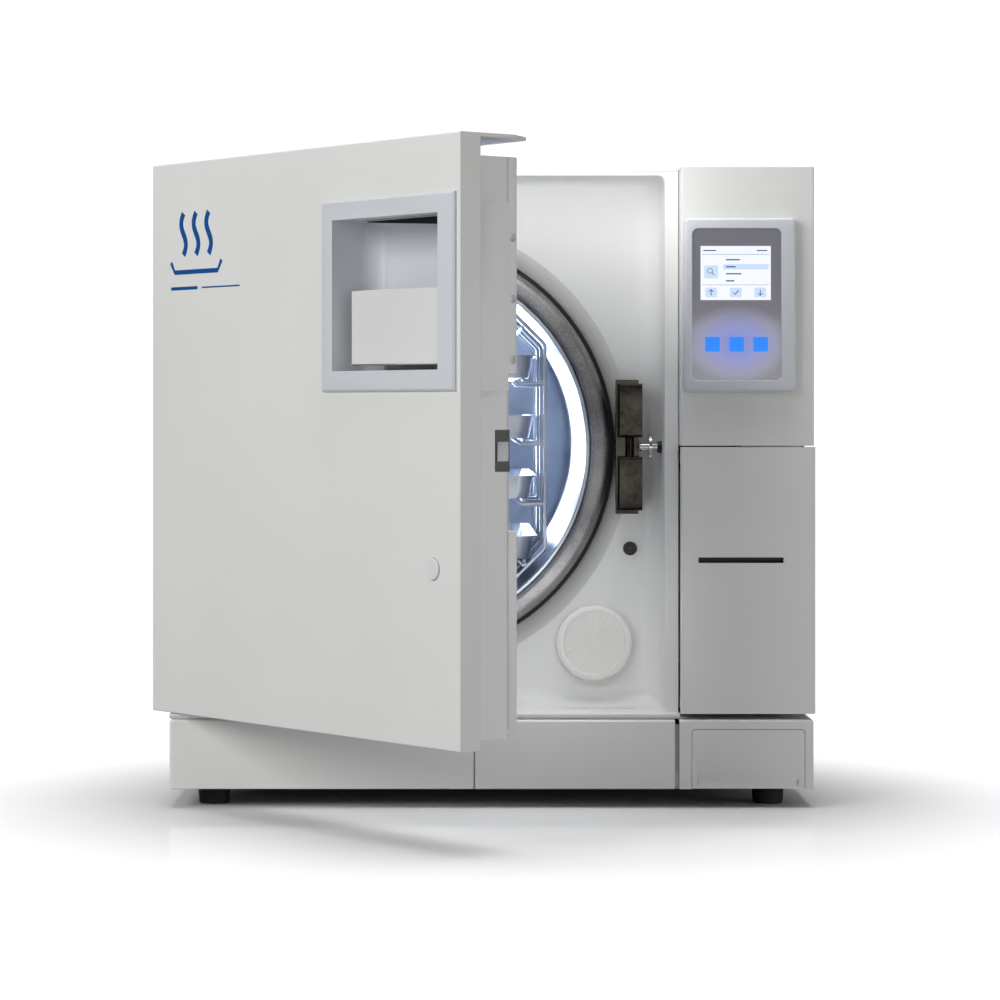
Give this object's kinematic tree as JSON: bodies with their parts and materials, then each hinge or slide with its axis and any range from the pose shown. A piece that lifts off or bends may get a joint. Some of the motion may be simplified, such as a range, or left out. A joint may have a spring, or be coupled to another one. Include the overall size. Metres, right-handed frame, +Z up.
{
  "type": "benchtop autoclave",
  "caption": "Benchtop steam autoclave with a side-hinged door, round chamber, wire rack, sliding trays, display column and printer.",
  "frame": {"origin": "on the bench, at the middle of the cabinet footprint, midway between its sides and between its front and back faces", "axes": "+X to the right seen from the front, +Y to the back, +Z up"},
  "size_m": [0.4957, 0.8443, 0.4824],
  "materials": {
    "white_cover": "satin moulded",
    "white_recess": "satin moulded",
    "painted_sheet": "powder coated",
    "zinc_sheet": "zinc plated",
    "cool_bezel": "satin moulded",
    "handle_shell": "satin moulded",
    "polished_steel": "polished",
    "blasted_steel": "bead blasted",
    "dark_steel": "black chrome",
    "bright_steel": "polished",
    "black_rubber": "moulded",
    "silicone": "moulded",
    "black_plastic": "moulded",
    "filter_plastic": "translucent",
    "window_glass": "tinted gloss",
    "lcd_glass": "lit",
    "blue_light": "lit",
    "green_board": "resin",
    "mica_band": "heat band",
    "mineral_wool": "felted",
    "pump_casting": "painted",
    "valve_brass": "machined",
    "tank_plastic": "translucent",
    "receipt_paper": "plain"
  },
  "bodies": {
    "cabinet": {"band_heater": "mica_band", "base_front_left": "white_cover", "base_front_right": "white_cover", "base_pan": "zinc_sheet", "cabinet_screws": "bright_steel", "chamber_flange": "blasted_steel", "chamber_vessel": "polished_steel", "column_housing": "white_cover", "condenser": "blasted_steel", "control_boards": "green_board", "display_bezel": "cool_bezel", "display_window": "window_glass", "door_sensor": "black_plastic", "drain_couplings": "blasted_steel", "fan_housing": "black_plastic", "flange_seal": "black_rubber", "flap_frame": "white_cover", "hinge_bracket": "zinc_sheet", "hinge_pins": "bright_steel", "insulation_jacket": "mineral_wool", "lcd_screen": "lcd_glass", "left_side_panel": "painted_sheet", "lock_bracket": "dark_steel", "lock_solenoid": "black_plastic", "mains_inlet": "black_plastic", "printer_mechanism": "black_plastic", "rear_panel": "painted_sheet", "recess_panel": "white_recess", "right_side_panel": "painted_sheet", "rubber_feet": "black_rubber", "safety_valve": "blasted_steel", "solenoid_valves": "valve_brass", "steam_generator": "blasted_steel", "top_cover": "painted_sheet", "touch_keys": "blue_light", "vacuum_pump": "pump_casting", "water_tanks": "tank_plastic"},
    "door": {"door_front_cover": "white_cover", "door_inner_shell": "white_recess", "door_lid": "polished_steel", "door_gasket": "silicone", "handle_recess": "cool_bezel"},
    "handle": {"handle": "handle_shell"},
    "lock_hook": {"lock_hook": "bright_steel"},
    "door_button": {"door_button": "handle_shell"},
    "tray_rack": {"tray_rack": "polished_steel"},
    "tray_1": {"tray_1": "polished_steel"},
    "tray_2": {"tray_2": "polished_steel"},
    "tray_3": {"tray_3": "polished_steel"},
    "tray_4": {"tray_4": "polished_steel"},
    "air_filter": {"air_filter": "filter_plastic"},
    "printer_cover": {"printer_cover": "white_cover", "tear_bar": "bright_steel"},
    "paper_roll": {"paper_roll": "receipt_paper"},
    "platen_roller": {"platen_roller": "black_rubber"},
    "base_flap": {"base_flap": "white_cover"},
    "tank_lid": {"tank_lid": "painted_sheet"},
    "power_switch": {"power_switch": "black_plastic"},
    "fan_rotor": {"fan_rotor": "black_plastic"},
    "lock_bolt": {"lock_bolt": "bright_steel"}
  },
  "joints": [
    {"name": "door_hinge", "type": "hinge", "parent": "cabinet", "child": "door", "pos_m": [-0.225, -0.2545, 0.271], "axis": [0, 0, -1], "range_deg": [-52.8, 57.2]},
    {"name": "handle_pivot", "type": "hinge", "parent": "door", "child": "handle", "pos_m": [-0.02772, -0.51027, 0.353], "axis": [0, 0, 1], "range_deg": [0, 18], "stiffness_Nm_per_rad": 0.6},
    {"name": "hook_pivot", "type": "hinge", "parent": "door", "child": "lock_hook", "pos_m": [-0.0221, -0.49784, 0.2682], "axis": [0, 0, 1], "range_deg": [0, 64]},
    {"name": "button_push", "type": "slide", "parent": "door", "child": "door_button", "axis": [0.7965, 0.6046, 0], "range_m": [0, 0.0025], "stiffness_N_per_m": 300},
    {"name": "rack_slide", "type": "slide", "parent": "cabinet", "child": "tray_rack", "axis": [0, -1, 0], "range_m": [0, 0.052]},
    {"name": "tray_1_slide", "type": "slide", "parent": "tray_rack", "child": "tray_1", "axis": [0, -1, 0], "range_m": [0, 0.06]},
    {"name": "tray_2_slide", "type": "slide", "parent": "tray_rack", "child": "tray_2", "axis": [0, -1, 0], "range_m": [0, 0.06]},
    {"name": "tray_3_slide", "type": "slide", "parent": "tray_rack", "child": "tray_3", "axis": [0, -1, 0], "range_m": [0, 0.06]},
    {"name": "tray_4_slide", "type": "slide", "parent": "tray_rack", "child": "tray_4", "axis": [0, -1, 0], "range_m": [0, 0.06]},
    {"name": "filter_pull", "type": "slide", "parent": "cabinet", "child": "air_filter", "axis": [0, -1, 0], "range_m": [0, 0.03]},
    {"name": "printer_cover_hinge", "type": "hinge", "parent": "cabinet", "child": "printer_cover", "pos_m": [0.191, -0.2745, 0.076], "axis": [1, 0, 0], "range_deg": [0, 75]},
    {"name": "paper_roll_spin", "type": "hinge", "parent": "cabinet", "child": "paper_roll", "pos_m": [0.186, -0.245, 0.216], "axis": [1, 0, 0], "continuous": true},
    {"name": "platen_spin", "type": "hinge", "parent": "cabinet", "child": "platen_roller", "pos_m": [0.186, -0.265, 0.176], "axis": [1, 0, 0], "continuous": true},
    {"name": "flap_hinge", "type": "hinge", "parent": "cabinet", "child": "base_flap", "pos_m": [0.191, -0.2748, 0.019], "axis": [1, 0, 0], "range_deg": [0, 85]},
    {"name": "tank_lid_hinge", "type": "hinge", "parent": "cabinet", "child": "tank_lid", "pos_m": [0.172, 0.248, 0.4794], "axis": [-1, 0, 0], "range_deg": [0, 100]},
    {"name": "power_rocker", "type": "hinge", "parent": "cabinet", "child": "power_switch", "pos_m": [0.14, 0.275, 0.096], "axis": [1, 0, 0], "range_deg": [-7, 7]},
    {"name": "fan_spin", "type": "hinge", "parent": "cabinet", "child": "fan_rotor", "pos_m": [-0.15, 0.266, 0.15], "axis": [0, 1, 0], "continuous": true},
    {"name": "lock_bolt_slide", "type": "slide", "parent": "cabinet", "child": "lock_bolt", "axis": [-1, 0, 0], "range_m": [-0.004, 0.003]}
  ],
  "couplings": [
    {"joint": "paper_roll_spin", "follows": "platen_spin", "ratio": -0.21053}
  ]
}
